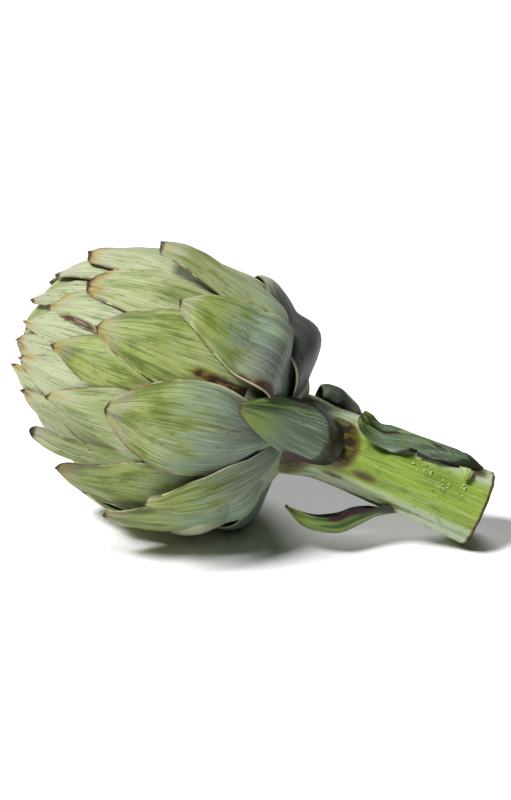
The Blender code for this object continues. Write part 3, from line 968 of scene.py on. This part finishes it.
    def spiral_bracts(self) -> list[Bract]:
        """Lists the bracts of the far side, in the spiral that artichokes grow in.

        Returns:
            The bracts from the outermost to the innermost, each a little off its place.
        """
        draw = random.Random(self.seed)
        sideways, onward, lean = self.spiral_straying
        found = []
        for count in range(self.spiral_count):
            reach = count / (self.spiral_count - 1)
            turn = (count * self.golden_turn + 180.0) % 360.0 - 180.0
            turn += draw.uniform(-sideways, sideways)
            tip = mix(*self.spiral_tips, reach**0.9) + draw.uniform(-onward, onward)
            root = mix(*self.spiral_roots, reach**1.2)
            half_width = mix(*self.spiral_widths, reach**1.5)
            flare = draw.uniform(*self.spiral_flares)
            in_front = self.front_sector[0] < turn < self.front_sector[1]
            if in_front or abs(turn) > self.lying_sector:
                continue
            ends = (root, turn), (tip, turn + draw.uniform(-lean, lean))
            found.append(Bract(*ends, half_width, flare, bloom=mix(*self.spiral_bloom, reach)))
        return found

    def marks(self, bract: Bract, along: float, across: float, seed: float) -> dict[Mark, float]:
        """The marks at a point of a bract.

        Args:
            bract: the bract's own numbers.
            along: 0 at its root, 1 at its tip.
            across: -1 and 1 at its margins.
            seed: moves its dots and the ragged edge of its dried tip.

        Returns:
            Each mark's value.
        """
        stain = 0.0
        for place, side, size in bract.stains:
            # longer across than along, and fading at its edge
            away = math.hypot((along - place) / size, (across - side) / (2.2 * size))
            stain = max(stain, ramp(away, 1.4, 0.2))
        ragged = 0.07 * noise.noise(Vector((across * 2.0, along * 3.0, seed + 4.0)))
        return {
            Mark.BLOOM: bract.bloom * ramp(along, 0.85, 0.1),
            Mark.FRESH: bract.fresh * mix(0.55, 1.0, ramp(along, 0.1, 0.8)),
            Mark.STAIN: stain,
            # purple-grey toward the root, and painted shade on the bracts turned from the light
            Mark.PURPLE: bract.purple * ramp(along, 1.1, 0.5),
            Mark.GOLD: bract.gold * ramp(along + 0.02 * abs(across) + ragged, 0.84, 0.99),
            Mark.CLUSTER: 0.5 + noise.noise(Vector((along * 3.0, across * 1.4, seed * 2.0))),
        }

    def add_bract(self, mesh: ShellMesh, bract: Bract, seed: float) -> None:
        """Adds one bract to the mesh of its row.

        Args:
            mesh: what gathers the row.
            bract: the bract's own numbers.
            seed: moves its patterns and waves.
        """
        shape = self.shape

        def place(along: float, across: float, side: float) -> Vector:
            """A point of the bract.

            Args:
                along: 0 at its root, 1 at its tip.
                across: -1 and 1 at its margins.
                side: 0 on its outer face, 1 on its inner one.

            Returns:
                The point.
            """
            share = mix(bract.root[0], bract.tip[0], along)
            half = bract.half_width * shape.outline(bract, along)
            turn = math.radians(mix(bract.root[1], bract.tip[1], along))
            turn += across * half / max(self.form.outline(share), shape.narrowest_radius)
            rise = shape.rise(bract, along, across, seed)
            thickness = mix(*shape.thickness, abs(across) ** shape.thinning)
            found = self.form.surface(share, turn, rise - side * thickness)
            found.z = max(found.z, TABLE_GAP + side * thickness)
            return found

        def marks(along: float, across: float) -> dict[Mark, float]:
            """The bract's marks."""
            return self.marks(bract, along, across, seed)

        length = (bract.tip[0] - bract.root[0]) * self.form.length
        size_mm = (length / MM, bract.half_width / MM)
        mesh.add_blade(place, marks, self.cells, size_mm, seed=seed * 13.7)

    def build_heart(self) -> ShellMesh:
        """Wraps one blade round the axis for the solid heart under the bracts.

        Returns:
            The heart's mesh, closed along the axis by the blade's inner face.
        """
        mesh = ShellMesh()

        def place(along: float, across: float, side: float) -> Vector:
            """A point of the heart.

            Args:
                along: 0 at the neck, 1 near the head's tip.
                across: -1 to 1 once round it.
                side: 0 on its outer face, 1 beside the axis.

            Returns:
                The point.
            """
            share = mix(0.0, self.heart_end, along)
            hollow = bump_at(across, *self.hollow_place) * ramp(share, *self.hollow_span)
            depth = self.heart_depth + self.under_hollow * hollow
            radius = max(self.form.outline(share) - depth, self.form.least_radius)
            turn = across * math.pi * 0.9999  # just short of closed, so that no faces coincide
            return self.form.point(share, turn, radius * mix(1, 0.02, side))

        def marks(along: float, across: float) -> dict[Mark, float]:
            """Pale green, greyer at its base, with no margins or tip."""
            grown = {Mark.ALONG: 0.5, Mark.ACROSS: 0.0, Mark.BLOOM: 0.3 * (1.0 - along)}
            return {**grown, Mark.FRESH: 0.4}

        mesh.add_blade(place, marks, self.heart_cells, self.heart_size_mm, seed=3.3)
        return mesh

    def build(self, skin: Material) -> list[Object]:
        """Builds the head.

        Args:
            skin: the bracts' material.

        Returns:
            The pieces: each row of bracts, those of the far side, and the heart.
        """
        rows = self.front_rows()
        rows["bracts_far_side"] = self.spiral_bracts()
        pieces = []
        seed = 0.0
        for name, bracts in rows.items():
            mesh = ShellMesh()
            for bract in bracts:
                seed += 1.0
                self.add_bract(mesh, bract, seed)
            pieces.append(mesh.finish(name, skin))
        pieces.append(self.build_heart().finish("heart", skin))
        return pieces

    def dress(self, skin: Material) -> None:
        """Puts the head, in this material, in place of its solid."""
        stand_in("head", Slot.BRACT, self.build(skin))


# --- the stem ----------------------------------------------------------------------------------


@dataclass(frozen=True)
class StemForm:
    """The stem's line and thickness, from the head's base to the cut."""

    base: Triple = NECK
    pitch: float = math.radians(22.8)  # how steeply it runs down
    yaw: float = math.radians(8.0)  # how far it turns to the back
    length: float = 0.0750
    top_radius: float = 0.0134
    cut_radius: float = 0.0143
    sag: float = 0.0026  # how much lower it leaves the head
    sag_reach: float = 0.028

    def radius(self, reach: float) -> float:
        """The stem's radius this far from the head's base."""
        return mix(self.top_radius, self.cut_radius, max(0.0, reach) / self.length)

    def point(self, reach: float, turn: float, radius: float) -> Vector:
        """A point round the stem's axis.

        Args:
            reach: how far down the stem from the head's base.
            turn: 0 at its top, a quarter turn at the front.
            radius: how far from the axis.

        Returns:
            The point.
        """
        heading = Vector((math.cos(self.yaw), math.sin(self.yaw), 0.0))
        axis = heading * math.cos(self.pitch) - Vector((0.0, 0.0, math.sin(self.pitch)))
        side = Vector((math.sin(self.yaw), -math.cos(self.yaw), 0.0))
        top = side.cross(axis)
        around = top * math.cos(turn) + side * math.sin(turn)
        near = 1.0 - min(max(reach, 0.0), self.sag_reach) / self.sag_reach
        return Vector(self.base) + axis * reach - top * self.sag * near**2 + around * radius


Line = tuple[Triple, ...]


@dataclass(frozen=True)
class StemLeaf:
    """A small leaf on the stem.

    Its midrib and its two margins run from root to tip through points given as mm along the
    stem, degrees round it from the top to the front, and mm above it.
    """

    name: str
    near: Line
    midrib: Line
    far: Line
    waves: float = 0.0  # height of the crumpling
    torn: float = 0.0  # depth of the tears in the near margin
    bloom: float = 0.5
    fresh: float = 0.5
    purple: float = 0.8
    gold: float = 0.5
    crease: float = 0.0  # how dark its long crease is: its own purple, and painted shade of the fold
    scar: Pair = (0.16, 0.02)  # along it: where its dark root, painted shade and then a brown scar, starts and is full


@dataclass
class SapBeads:
    """Drops of sap that have dried on the stem beside the torn leaf."""

    form: StemForm
    # each group: mm along the stem, degrees round it, their spreads, and how many
    groups: tuple[tuple[float, float, float, float, int], ...] = (
        (48.0, 42.0, 4.0, 7.0, 12),
        (61.0, 50.0, 5.0, 9.0, 18),
    )
    radius_mm: Pair = (0.25, 0.6)  # the least and the most
    stand_mm: float = 0.3  # of a drop's middle over the stem
    squash: float = 0.6  # height as a share of the width
    seed: int = 5

    def build(self, sap: Material) -> Object:
        """Builds all the drops as one piece.

        Args:
            sap: their material.

        Returns:
            The piece.
        """
        draw = random.Random(self.seed)
        gathered = bmesh.new()
        for along, round_it, length, width, count in self.groups:
            for _ in range(count):
                reach = (along + draw.uniform(-length, length)) * MM
                turn = math.radians(round_it + draw.uniform(-width, width))
                size = mix(*self.radius_mm, draw.random() ** 2) * MM
                radius = self.form.radius(reach) + self.stand_mm * MM
                place = Matrix.Translation(self.form.point(reach, turn, radius))
                drop = place @ Matrix.Diagonal((size, size, size * self.squash, 1.0))
                bmesh.ops.create_icosphere(gathered, subdivisions=2, radius=1.0, matrix=drop)
        mesh = bpy.data.meshes.new("sap_beads")
        gathered.to_mesh(mesh)
        gathered.free()
        mesh.materials.append(sap)
        mesh.shade_smooth()
        return put_in_scene("sap_beads", mesh)


@dataclass
class ArtichokeStem:
    """The ribbed stem with its cut end, and the small leaves that grow on it."""

    form: StemForm = StemForm()
    ribs: int = 14
    rib_height: float = 0.00034
    fine_ribs: int = 43
    fine_rib_height: float = 0.00012
    unevenness: float = 0.0004
    collar: Pair = (0.0022, 0.014)  # how far it widens into the head, and where
    sunk: float = 0.012  # how far it runs on inside the head
    skin_cells: tuple[int, int] = (90, 168)  # along it and round it
    cut_cells: tuple[int, int] = (16, 168)  # from its middle to its rim, and round it
    cut_size_mm: Pair = (14.0, 30.0)  # its radius, and half way round it
    cut_dome: float = 0.0004
    cut_depth: float = 0.0012
    cut_stand: float = 0.0003  # how far the rim of the cut stands off the skin's end
    core: float = 0.0004  # radius that the skin closes on inside
    leaf_cells: tuple[int, int] = (64, 24)
    leaf_size_mm: Pair = (45.0, 9.0)  # length and half width
    leaf_thickness: Pair = (0.0012, 0.0004)  # at the midrib and the margins
    tear_place: Pair = (0.44, 0.035)  # along the torn leaf, and its width
    tear_raggedness: float = 0.14
    # degrees round it: its down thins up to the second, and is full again from the last
    rubbed: tuple[float, float, float, float] = (12.0, 42.0, 92.0, 118.0)
    scar_reach_mm: Pair = (19.8, 6.0)  # of the front leaf's foot: middle, ends
    scar_turn: Pair = (62.0, 50.0)  # degrees round it: middle, half width
    scar_fades: tuple[Pair, Pair] = ((4.0, 24.0), (102.0, 86.0))  # degrees: its two ends
    scar_width_mm: float = 4.2
    dried_rim_mm: Pair = (74.3, 75.0)
    bruises_and_shade: tuple[tuple[float, float, float, float, float], ...] = (
        (29.5, 91.0, 5.5, 7.0, 0.75),  # mm along, degrees round, mm long, degrees wide, depth
        (19.0, 111.0, 5.0, 6.0, 0.6),
        # painted shade: a broad dark band round the neck under the head and the front leaf
        (3.0, 95.0, 7.0, 45.0, 0.8),
        (67.0, 2.0, 5.0, 16.0, 0.9),
        (44.0, 128.0, 4.0, 14.0, 0.4),
    )

    def leaves(self) -> tuple[StemLeaf, ...]:
        """Lists the four leaves, in the places that their solids hold.

        Returns:
            The leaf over the neck, the one underneath, the crumpled one on top, the one behind.
        """
        front = StemLeaf(
            "stem_leaf_front",
            (
                (16, 96, 0.1), (13, 94, 3), (9, 91, 6), (0, 83, 12),
                (-8, 77, 18.5), (-16, 71, 26), (-23.5, 65, 35),
            ),
            (
                (18.5, 62, 0.1), (14.5, 60, 4), (10.5, 58, 9), (3, 57, 14),
                (-6, 58, 20), (-16, 61, 29), (-24.5, 63, 37),
            ),
            (
                (13.5, 24, 0.1), (8.5, 24, 3.5), (1.5, 31, 10.5), (-7, 41, 17),
                (-15, 51, 24.5), (-21, 58, 31), (-24.5, 62, 36.5),
            ),
            bloom=0.9,
            fresh=1.0,
            gold=0.8,
            purple=1.0,
            # painted shade: a long dark root for the steep face of its foot, turned from the light,
            # before its brown scar
            scar=(0.38, 0.20),
        )
        under = StemLeaf(
            "stem_leaf_under",
            (
                (43, 122, 0.1), (37.5, 128, 4), (31, 128, 8), (26, 130, 13),
                (20, 133, 15), (14, 138, 14.7), (8, 142.5, 14),
            ),
            (
                (47, 140, 0.1), (41, 143, 4), (36, 143, 10), (30, 143, 16),
                (22, 143, 18.5), (15, 143, 18), (8, 143, 14),
            ),
            (
                (43, 160, 0.1), (37.5, 160, 2), (32, 161, 5), (27, 161, 9.5),
                (20, 156, 13), (14, 150, 13.7), (8, 143.5, 14),
            ),
            bloom=0.1,
            fresh=0.8,
            purple=1.0,
        )
        top = StemLeaf(
            "stem_leaf_top",
            (
                (62, 14, 0.9), (54, 26, 1.1), (47.5, 30, 1.6), (42, 34, 1.5),
                (35, 41, 1.5), (28, 45, 2.0), (22, 40, 3.8), (19, 31, 7.5),
            ),
            (
                (69, -4, 1.0), (60, 2, 1.6), (52, 6, 1.8), (44, 12, 1.8),
                (36, 18, 2.2), (29, 24, 3.0), (23, 27, 5.2), (18.8, 28, 9.0),
            ),
            (
                (70, -22, 0.6), (62, -16, 0.8), (53, -12, 0.8), (44, -8, 0.8),
                (36, -2, 0.9), (30, 6, 1.6), (25, 15, 4.0), (20, 24, 9.4),
            ),
            waves=0.0024,
            torn=0.5,
            # its grey wax, laid full, is also painted highlight on its crumples
            bloom=1.0,
            fresh=1.0,
            gold=0.0,
            # its own purple, and painted shade, along the long fold
            crease=0.8,
        )
        back = StemLeaf(
            "stem_leaf_back",
            (
                (21, -34, 0.1), (17.5, -40, 1.2), (14.5, -44, 2.6), (11, -45, 3.6),
                (8, -46, 4.2), (5.5, -48, 4.4),
            ),
            (
                (24, -58, 0.1), (20, -66, 8), (16, -69, 12), (11, -71, 15.5),
                (7, -74, 17), (4, -76, 17),
            ),
            (
                (21, -84, 0.1), (17, -96, 4), (13, -102, 7), (9, -104, 9),
                (7, -104, 9.5), (6, -102, 9.5),
            ),
            bloom=1.0,
            fresh=0.2,
            gold=0.0,
        )
        return (front, under, top, back)

    def stub(self) -> StemLeaf:
        """Describes the pale flap of skin that a torn-off leaf left beside the cut.

        Returns:
            The flap, in a leaf's terms.
        """
        return StemLeaf(
            "torn_stub",
            ((66.2, 11, 0.3), (66.4, 20, 1.6), (65.8, 29, 2.2), (64.9, 36, 1.6)),
            ((63.4, 10, 0.5), (64.0, 20, 2.4), (64.4, 29, 3.0), (64.4, 37, 1.8)),
            ((60.6, 12, 0.3), (61.2, 20, 1.2), (62.6, 29, 1.8), (63.9, 36, 1.4)),
            waves=0.0003,
            bloom=0.4,
            purple=0.0,
        )

    def surface(self, reach: float, turn: float) -> Vector:
        """A point of the stem's ribbed skin.

        Args:
            reach: how far down the stem from the head's base.
            turn: 0 at its top, a quarter turn at the front.

        Returns:
            The point, never below the table.
        """
        # the inner sine spaces the ribs unevenly
        rib = self.rib_height * math.cos(self.ribs * turn + 0.9 * math.sin(2.0 * turn + 1.0))
        rib += self.fine_rib_height * math.cos(self.fine_ribs * turn + 1.0)
        wander = noise.noise(Vector((reach * 30.0, math.cos(turn) * 1.5, math.sin(turn) * 1.5)))
        widening = self.collar[0] * ramp(reach, self.collar[1], 0.0)
        radius = self.form.radius(reach) + rib + widening + self.unevenness * wander
        found = self.form.point(reach, turn, radius)
        found.z = max(found.z, TABLE_GAP)
        return found

    def skin_marks(self, reach: float, turn: float) -> dict[Mark, float]:
        """The marks at a point of the stem's skin.

        Args:
            reach: how far down the stem from the head's base.
            turn: 0 at its top, a quarter turn at the front.

        Returns:
            White down but for a rubbed strip, and a brown scar, brown bruising, painted shade on
            the neck and cut rim.
        """
        degrees = (math.degrees(turn) + 180.0) % 360.0 - 180.0
        down_ends, bare, bare_ends, down = self.rubbed
        bloom = ramp(degrees, bare, down_ends) + ramp(degrees, bare_ends, down)
        reach_mm = reach / MM
        middle, half_width = self.scar_turn
        scar = self.scar_reach_mm[0]
        scar -= self.scar_reach_mm[1] * ((degrees - middle) / half_width) ** 2
        stain = bump_at(reach_mm, scar, self.scar_width_mm)
        for none, full in self.scar_fades:
            stain *= ramp(degrees, none, full)
        # bruising, and painted shade on the neck
        for place, side, length, width, depth in self.bruises_and_shade:
            bruise_and_shade = bump_at(reach_mm, place, length) * bump_at(degrees, side, width)
            stain = max(stain, depth * bruise_and_shade)
        stain = max(stain, 0.9 * ramp(reach_mm, *self.dried_rim_mm))
        return {Mark.BLOOM: min(1.0, bloom), Mark.FRESH: 1.0, Mark.STAIN: min(1.0, stain)}

    def build_skin(self, skin: Material) -> Object:
        """Builds the stem's skin, a closed ribbed tube whose far end is the cut.

        Args:
            skin: its material.

        Returns:
            The piece.
        """
        mesh = ShellMesh()
        start, end = -self.sunk, self.form.length

        def place(along: float, across: float, side: float) -> Vector:
            """A point of the skin, or on its inner side of the core that closes it."""
            reach, turn = mix(end, start, along), across * math.pi
            return self.form.point(reach, turn, self.core) if side else self.surface(reach, turn)

        def marks(along: float, across: float) -> dict[Mark, float]:
            """The skin's marks, by its place on the stem."""
            return self.skin_marks(mix(end, start, along), across * math.pi)

        size_mm = ((end - start) / MM, math.pi * self.form.top_radius / MM)
        mesh.add_blade(place, marks, self.skin_cells, size_mm, seed=5.5)
        return mesh.finish("stem_skin", skin)

    def build_cut(self, pith: Material) -> Object:
        """Builds the cut face, a thin slightly domed disc on the end of the stem.

        Args:
            pith: its material.

        Returns:
            The piece.
        """
        mesh = ShellMesh()
        end = self.form.length

        def place(along: float, across: float, side: float) -> Vector:
            """A point of the cut.

            Args:
                along: 0 in its middle, 1 at its rim.
                across: -1 to 1 once round it.
                side: 0 on its face, 1 on its back inside the stem.

            Returns:
                The point.
            """
            turn = across * math.pi
            reach = end + self.cut_stand + self.cut_dome * (1 - along) - self.cut_depth * side
            rim = self.surface(end, turn) - self.form.point(end, 0, 0)
            width = max(along, 0.01) * mix(0.995, 0.9, side)  # within the skin, more so at its back
            return self.form.point(reach, turn, 0.0) + rim * width

        mesh.add_blade(place, lambda *_: {}, self.cut_cells, self.cut_size_mm, seed=7.7)
        return mesh.finish("stem_cut", pith)

    def build_leaf(self, leaf: StemLeaf, skin: Material, seed: float) -> Object:
        """Builds one leaf.

        Args:
            leaf: its own numbers.
            skin: its material.
            seed: moves its patterns and waves.

        Returns:
            The leaf's object.
        """
        mesh = ShellMesh()

        def place(along: float, across: float, side: float) -> Vector:
            """A point of the leaf.

            Args:
                along: 0 at its root, 1 at its tip.
                across: -1 and 1 at its margins.
                side: 0 on its outer face, 1 on its inner one.

            Returns:
                The point.
            """
            jags = abs(noise.noise(Vector((along * 24.0, 3.0, seed))))
            tear = bump_at(along, *self.tear_place) + self.tear_raggedness * jags
            across = max(across, -1.0 + leaf.torn * tear)
            # a parabola across, through the near margin, the midrib and the far margin
            near = smooth_through(leaf.near, along) * (across * across - across) / 2
            far = smooth_through(leaf.far, along) * (across * across + across) / 2
            midrib = smooth_through(leaf.midrib, along) * (1.0 - across * across)
            reach_mm, degrees, height = near + midrib + far
            reach = reach_mm * MM
            radius = self.form.radius(reach) + height * MM
            # folds that run along the leaf and wind from side to side
            crumple = math.sin(across * 9.0 + 2.5 * math.sin(along * 9.0 + seed))
            radius += leaf.waves * (0.5 + 0.5 * crumple) * ramp(along, 0.0, 0.15)
            radius += self.unevenness * noise.noise(Vector((along * 5, across * 1.5, seed)))
            radius -= side * mix(*self.leaf_thickness, abs(across) ** 2.5)
            found = self.form.point(reach, math.radians(degrees), radius)
            found.z = max(found.z, TABLE_GAP)
            return found

        def marks(along: float, across: float) -> dict[Mark, float]:
            """Grey toward its root, with purple margins near it, and painted shade then a brown
            scar at it.

            Args:
                along: 0 at its root, 1 at its tip.
                across: -1 and 1 at its margins.

            Returns:
                Each mark's value.
            """
            edge = ramp(abs(across), 0.76, 0.96) * ramp(along, 0.66, 0.46)
            ragged = noise.noise(Vector((across * 6.0, along * 14.0, seed + 4.0)))
            # a dark purple line along the long fold: its own purple, and painted shade of the fold
            crease = bump_at(across, 0.4 * along - 0.15, 0.08) * ramp(ragged, -0.5, 0.1)
            return {
                Mark.BLOOM: leaf.bloom * ramp(along, 1.0, 0.45),
                Mark.FRESH: leaf.fresh,
                Mark.PURPLE: max(leaf.purple * edge, leaf.crease * crease),
                # painted shade, then the brown scar, at the root
                Mark.STAIN: ramp(along + 0.06 * ragged - 0.05 * across * across, *leaf.scar),
                Mark.GOLD: leaf.gold * ramp(along, 0.88, 1.0),
                Mark.CLUSTER: 0.5 + noise.noise(Vector((along * 3.0, across * 1.5, seed))),
            }

        mesh.add_blade(place, marks, self.leaf_cells, self.leaf_size_mm, seed=seed * 9.1)
        return mesh.finish(leaf.name + "_blade", skin)

    def build(self, skin: Material, pith: Material) -> list[Object]:
        """Builds the stem without its leaves.

        Args:
            skin: the material of the stem and of the torn stub.
            pith: the material of the cut.

        Returns:
            The pieces.
        """
        pieces = [self.build_skin(skin), self.build_cut(pith)]
        return pieces + [self.build_leaf(self.stub(), skin, seed=8.0)]

    def dress(self, skin: Material, pith: Material, sap: Material) -> None:
        """Puts the stem and the sap on it in place of its solid.

        Args:
            skin: the material of the stem and of the torn stub.
            pith: the material of the cut.
            sap: the material of the dried drops.
        """
        pieces = self.build(skin, pith)
        pieces.append(SapBeads(self.form).build(sap))
        stand_in("stem", Slot.STEM, pieces)

    def dress_leaves(self, skin: Material) -> None:
        """Puts each leaf, in this material, in place of its solid."""
        for number, leaf in enumerate(self.leaves()):
            stand_in(leaf.name, Slot.LEAF, [self.build_leaf(leaf, skin, seed=2.0 + number)])


# --- the setting -------------------------------------------------------------------------------


@dataclass(frozen=True)
class SoftLight:
    """A broad soft lamp so far off that it lights everything alike."""

    name: str
    azimuth: float  # degrees round from the table's front, toward +X
    elevation: float  # degrees up from the table
    spread: float  # degrees of sky that it fills
    power: float

    def build(self) -> None:
        """Adds the lamp."""
        lamp = bpy.data.lights.new(self.name, "SUN")
        lamp.angle = math.radians(self.spread)
        lamp.energy = self.power
        aim(put_in_scene(self.name, lamp), direction(self.azimuth, self.elevation))


@dataclass(frozen=True)
class Setting:
    """The white table, the soft lamps, the pale room and the camera."""

    table_side: float = 12.0
    paper: Paper = Paper()
    room: str = "#f2f6ff"
    room_light: float = 0.012
    lamps: tuple[SoftLight, ...] = (
        SoftLight("key", -42.0, 57.0, 18.0, 4.6),
        SoftLight("back", -160.0, 45.0, 24.0, 1.25),
    )
    azimuth: float = 15.0  # of the camera, in degrees, as the lamps'
    elevation: float = 24.0
    distance: float = 0.85
    lens: float = 103.0
    target: Triple = (0.037, 0.0, 0.0523)

    def build(self) -> None:
        """Builds all of it."""
        bpy.ops.mesh.primitive_plane_add(size=self.table_side)
        table = bpy.context.object
        table.name = "paper_table"
        table.data.materials.append(self.paper.build())
        for lamp in self.lamps:
            lamp.build()
        room = bpy.data.worlds.new("pale room")
        room.use_nodes = True
        light = {"Color": linear(self.room), "Strength": self.room_light}
        set_inputs(room.node_tree, room.node_tree.nodes["Background"], light)
        bpy.context.scene.world = room
        bpy.context.scene.view_settings.view_transform = "Standard"
        self.build_camera()

    def build_camera(self) -> None:
        """Adds the camera."""
        view = bpy.data.cameras.new("camera")
        view.lens = self.lens
        camera = put_in_scene("camera", view)
        toward = direction(self.azimuth, self.elevation)
        camera.location = Vector(self.target) + toward * self.distance
        aim(camera, toward)
        bpy.context.scene.camera = camera


def main() -> None:
    """Builds the artichoke and its setting."""
    logging.basicConfig(level=logging.INFO, format="%(name)s: %(message)s")
    ArtichokeHead().dress(BRACT_SKIN.build())
    stem = ArtichokeStem()
    stem.dress(STEM_SKIN.build(), CUT_PITH.build(), Sap().build())
    stem.dress_leaves(LEAF_SKIN.build())
    Setting().build()


if __name__ == "__main__":
    main()
